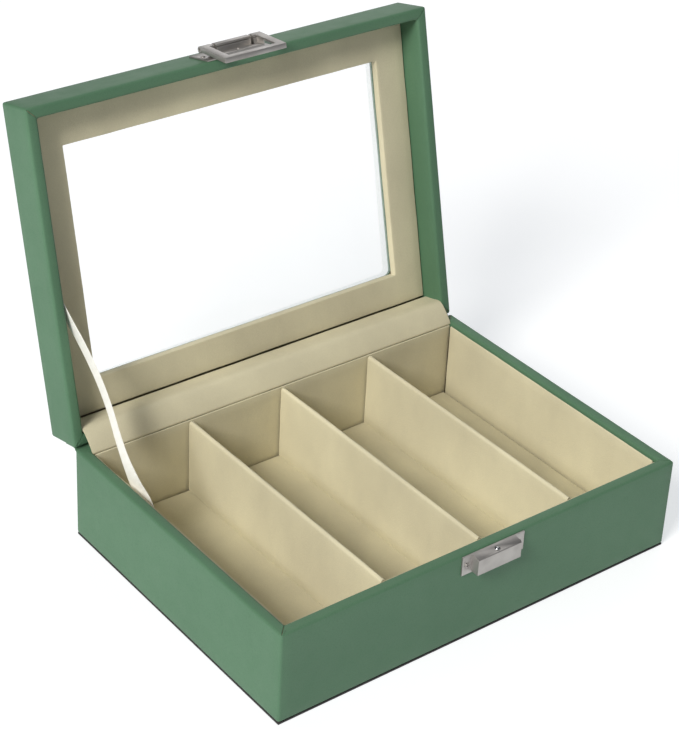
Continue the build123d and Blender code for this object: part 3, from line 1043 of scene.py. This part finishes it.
# ---------------------------------------------------------------- soft pieces
@dataclass
class Soft(Maker):
    """The velvet and the leather over the hinge line, and the ribbon that stays the lid.

    Each of ribbon_bends is a share of the ribbon's length, how far it stands off the wall there, and its
    twist in degrees.
    """

    strip_columns: int = 60
    velvet: float = 0.0007
    velvet_rows: int = 44
    velvet_gap: float = 0.0011
    velvet_step: float = 0.0002
    velvet_rise: float = 0.0016
    velvet_sag: float = 0.0006
    velvet_waver: float = 0.0003
    spine: float = 0.00055
    spine_rows: int = 32
    spine_lap: float = 0.008
    spine_dip: float = 0.0004
    ribbon: float = 0.0004
    ribbon_rows: int = 54
    ribbon_columns: int = 8
    ribbon_glued: int = 4
    ribbon_width: float = 0.0105
    ribbon_bends: tuple[tuple[float, float, float], ...] = (
        (0.0, 0.0006, 0.0), (0.07, 0.0028, 6.0), (0.13, 0.0030, 8.0), (0.20, 0.0016, 4.0),
        (0.30, 0.0012, -5.0), (0.40, 0.0020, -8.0), (0.51, 0.0034, -9.0), (0.63, 0.0037, -9.0),
        (0.76, 0.0025, -9.0), (0.87, 0.0006, -10.0), (1.0, -0.0016, -11.0))

    def band(self, name: str, rows: Sequence[tuple[Vector, Vector]], columns: int) -> Piece:
        """A strip of cloth through rows of two edge points each.

        Args:
            name: The piece's name.
            rows: The two edges of the strip, row by row.
            columns: How many faces it is wide.

        Returns:
            The strip, with a UV map that follows it.
        """
        activate(None)
        bpy.ops.mesh.primitive_grid_add(x_subdivisions=columns, y_subdivisions=len(rows) - 1, size=2)
        piece = settle(name)
        for vertex in piece.data.vertices:
            row = round((vertex.co.y + 1) / 2 * (len(rows) - 1))
            share = (vertex.co.x + 1) / 2
            vertex.co = rows[row][0].lerp(rows[row][1], share)
        return piece

    def crossing(self, name: str, points: Sequence[Vector], count: int, left: float, right: float,
                 thickness: float) -> tuple[Piece, list[Vector]]:
        """A strip that runs along X, bent round the smooth line through some points.

        Args:
            name: The piece's name.
            points: The points of the line.
            count: How many rows of faces it has.
            left: Where it starts along X.
            right: Where it ends along X.
            thickness: Its thickness.

        Returns:
            The strip, and the places that its line passes.
        """
        places = [along(points, i / count) for i in range(count + 1)]
        rows = [(Vector((left, place.y, place.z)), Vector((right, place.y, place.z))) for place in places]
        piece = self.band(name, rows, self.strip_columns)
        modify(piece, "SOLIDIFY", thickness=thickness, offset=0.0)
        return piece, places

    def hand_sheet(self, piece: Piece, slot: Slot, node: str, width: float, line: Sequence[Vector], held: str,
                   start: Vector, end: Vector) -> None:
        """Dresses a sheet, hides the CAD node that it replaces and puts its place in its mesh.

        Args:
            piece: The sheet.
            slot: The slot of its finish.
            node: The CAD node that it replaces.
            width: Its flat size across its line. Not used.
            line: The places that its line passes. Not used.
            held: How it is held. Not used.
            start: Where it stops following the base. Not used.
            end: Where it starts following the lid. Not used.
        """
        smooth(piece, 60.0)
        self.finishes.dress(piece, slot)
        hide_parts(node)
        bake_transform(piece)

    def build(self) -> None:
        """Builds and dresses the soft pieces."""
        self.build_hinge_velvet()
        self.build_spine()
        self.build_ribbon()

    def build_hinge_velvet(self) -> None:
        """The velvet from the base's back lining over the hinge line and up the lid's lining."""
        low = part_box("hinge_velvet")[0]
        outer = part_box("base_back_lining")[1]
        lining_low, lining_high = shut_box("lid_back_lining")
        face = lining_low.y - self.velvet / 2
        start = Vector((0.0, low.y + self.velvet / 2, low.z))
        rim = Vector((0.0, start.y + self.velvet_step, outer.z + self.velvet_rise))
        end = OPENING @ Vector((0.0, face, lining_low.z))
        middle = OPENING @ Vector((0.0, face, (lining_low.z + lining_high.z) / 2))
        top = OPENING @ Vector((0.0, face, lining_high.z - self.velvet_gap))
        sag = Vector((0.0, -self.velvet_sag, self.velvet_sag))
        points = [start, rim, rim.lerp(end, 0.5) + sag, end, middle, top]
        piece, line = self.crossing(
            "hinge_velvet_strip", points, self.velvet_rows, -outer.x, outer.x, self.velvet)
        waver(piece, self.velvet_waver, 0.02)
        self.hand_sheet(piece, Slot.VELVET, "hinge_velvet", 2 * outer.x, line, "stretched", start, end)

    def build_spine(self) -> None:
        """The leather over the hinge line outside, dipping in a little while the lid is open."""
        low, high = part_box("hinge_spine")
        y = low.y + self.spine / 2
        foot = Vector((0.0, y, low.z))
        lap = foot + Vector((0.0, 0.0, self.spine_lap))
        far = OPENING @ Vector((0.0, y, 2 * PIVOT.z - low.z))
        far_lap = OPENING @ Vector((0.0, y, 2 * PIVOT.z - low.z - self.spine_lap))
        chord = far_lap - lap
        out = Vector((0.0, chord.z, -chord.y)).normalized()
        dip = lap + chord / 2 - out * self.spine_dip
        points = [foot, lap, dip, far_lap, far]
        piece, line = self.crossing(
            "hinge_spine_leather", points, self.spine_rows, low.x, high.x, self.spine)
        self.hand_sheet(piece, Slot.LEATHER, "hinge_spine", high.x - low.x, line, "folded", lap, far_lap)

    def build_ribbon(self) -> None:
        """The ribbon on the left, glued to the base's lining and to the lid's wall."""
        low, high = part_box("ribbon_stay")
        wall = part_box("base_left_lining")[1].x + self.ribbon
        run = Vector((0.0, high.y - low.y, high.z - low.z)).normalized()
        across = Vector((0.0, -run.z, run.y))
        half = self.ribbon_width / 2
        inset = Vector((0.0, half * run.z, half * run.y))
        foot = Vector((wall, low.y, low.z)) + inset
        reach = Vector((wall, high.y, high.z)) - inset - foot
        bends = [Vector(bend) for bend in self.ribbon_bends]
        rows = []
        for i in range(self.ribbon_rows + 1):
            share, off, twist = along(bends, i / self.ribbon_rows)
            place = foot + reach * share + Vector((off, 0.0, 0.0))
            turn = math.radians(twist)
            side = across * math.cos(turn) + Vector((1.0, 0.0, 0.0)) * math.sin(turn)
            rows.append((place - side * half, place + side * half))
        piece = self.band("ribbon_band", rows, self.ribbon_columns)
        modify(piece, "SOLIDIFY", thickness=self.ribbon, offset=0.0)
        line = [(a + b) / 2 for a, b in rows]
        start, end = line[self.ribbon_glued], line[-self.ribbon_glued]
        self.hand_sheet(piece, Slot.RIBBON, "ribbon_stay", self.ribbon_width, line, "hung", start, end)


def along(points: Sequence[Vector], share: float) -> Vector:
    """A place on the smooth line through some points.

    Args:
        points: The points.
        share: How far along the line, from 0 to 1.

    Returns:
        The place.
    """
    last = len(points) - 1
    scaled = min(max(share, 0.0), 1.0) * last
    i = min(int(scaled), last - 1)
    t = scaled - i
    a, b = points[i], points[i + 1]
    before = points[max(i - 1, 0)]
    after = points[min(i + 2, last)]
    leave = (b - before) / 2
    arrive = (after - a) / 2
    t2, t3 = t * t, t * t * t
    return a * (2 * t3 - 3 * t2 + 1) + leave * (t3 - 2 * t2 + t) + b * (3 * t2 - 2 * t3) + arrive * (t3 - t2)


# ---------------------------------------------------------------- studio
@dataclass(frozen=True)
class Lamp:
    """A square area light: its name, its place, its side, its power in watts and its colour."""

    name: str
    place: tuple[float, float, float]
    size: float
    power: float
    tint: Colour


@dataclass
class Studio:
    """A pale floor, soft light and the camera."""

    azimuth: float = -37.7232
    elevation: float = 29.5541
    roll: float = 2.3688
    place: tuple[float, float, float] = (-0.5949, -0.7010, 0.6800)
    sensor: float = 36.0
    lens: float = 102.706
    shift: tuple[float, float] = (0.0471, -0.1131)
    floor_size: float = 9.0
    floor_gap: float = 0.0002
    world: float = 0.14
    glow: float = 0.60
    aim: tuple[float, float, float] = (0.0, 0.04, 0.08)
    lamps: tuple[Lamp, ...] = (
        Lamp("key", (-3.07, -1.07, 2.72), 1.4, 184.0, (1.0, 0.975, 0.92)),
        Lamp("top", (1.2, 0.85, 1.7), 1.8, 11.0, (1.0, 0.99, 0.97)),
        Lamp("rim", (1.17, 1.84, 0.70), 1.2, 5.0, (1.0, 1.0, 1.0)))

    def build(self) -> None:
        """Builds the floor, the lights and the camera."""
        self.build_floor()
        self.build_lights()
        self.build_camera()

    def build_floor(self) -> None:
        """A large pale floor just under the case."""
        activate(None)
        bpy.ops.mesh.primitive_plane_add(size=self.floor_size, location=(0, 0, -self.floor_gap))
        floor = settle("floor")
        sheet = NodeSheet("floor_paper")
        grain = sheet.noise(300.0, 3.0)
        tone = sheet.blend(grain, (0.50, 0.505, 0.515), (0.52, 0.525, 0.535))
        floor.data.materials.append(sheet.shade(
            Base_Color=tone, Roughness=0.9,
            Emission_Color=(0.96, 0.98, 1.0, 1.0), Emission_Strength=self.glow))

    def build_lights(self) -> None:
        """The world's even cool light, a large warm key on the left and two soft lights behind."""
        world = bpy.data.worlds.new("studio")
        world.use_nodes = True
        back = world.node_tree.nodes["Background"]
        back.inputs["Color"].default_value = (0.92, 0.98, 1.08, 1.0)
        back.inputs["Strength"].default_value = self.world
        bpy.context.scene.world = world
        bpy.context.scene.view_settings.view_transform = "Standard"
        for lamp in self.lamps:
            self.light(lamp)

    def light(self, lamp: Lamp) -> None:
        """Adds a light aimed at the case."""
        data = bpy.data.lights.new(lamp.name, "AREA")
        data.color = lamp.tint
        data.size = lamp.size
        data.energy = lamp.power
        item = bpy.data.objects.new(lamp.name, data)
        bpy.context.scene.collection.objects.link(item)
        item.location = lamp.place
        item.rotation_euler = (Vector(self.aim) - item.location).to_track_quat("-Z", "Y").to_euler()

    def build_camera(self) -> None:
        """The camera, from its direction, roll, place and lens."""
        azimuth, elevation = math.radians(self.azimuth), math.radians(self.elevation)
        level = math.cos(elevation)
        back = Vector((math.sin(azimuth) * level, -math.cos(azimuth) * level, math.sin(elevation)))
        right = Vector((0, 0, 1)).cross(back).normalized()
        up = back.cross(right)
        turn = Matrix((right, up, back)).transposed().to_4x4()
        camera = bpy.data.cameras.new("camera")
        camera.lens = self.lens
        camera.sensor_width = self.sensor
        camera.shift_x, camera.shift_y = self.shift
        item = bpy.data.objects.new("camera", camera)
        bpy.context.scene.collection.objects.link(item)
        item.matrix_world = Matrix.Translation(self.place) @ turn @ Matrix.Rotation(
            math.radians(self.roll), 4, "Z")
        bpy.context.scene.camera = item


def main() -> None:
    """Builds the case and the studio."""
    logging.basicConfig(level=logging.INFO, format="%(name)s %(message)s")
    finishes = Finishes()
    finishes.dress_nodes()
    for assembly in (Base(finishes), Lid(finishes), Hardware(finishes), Soft(finishes)):
        LOG.info("building %s", type(assembly).__name__)
        assembly.build()
    Studio().build()


if __name__ == "__main__":
    main()
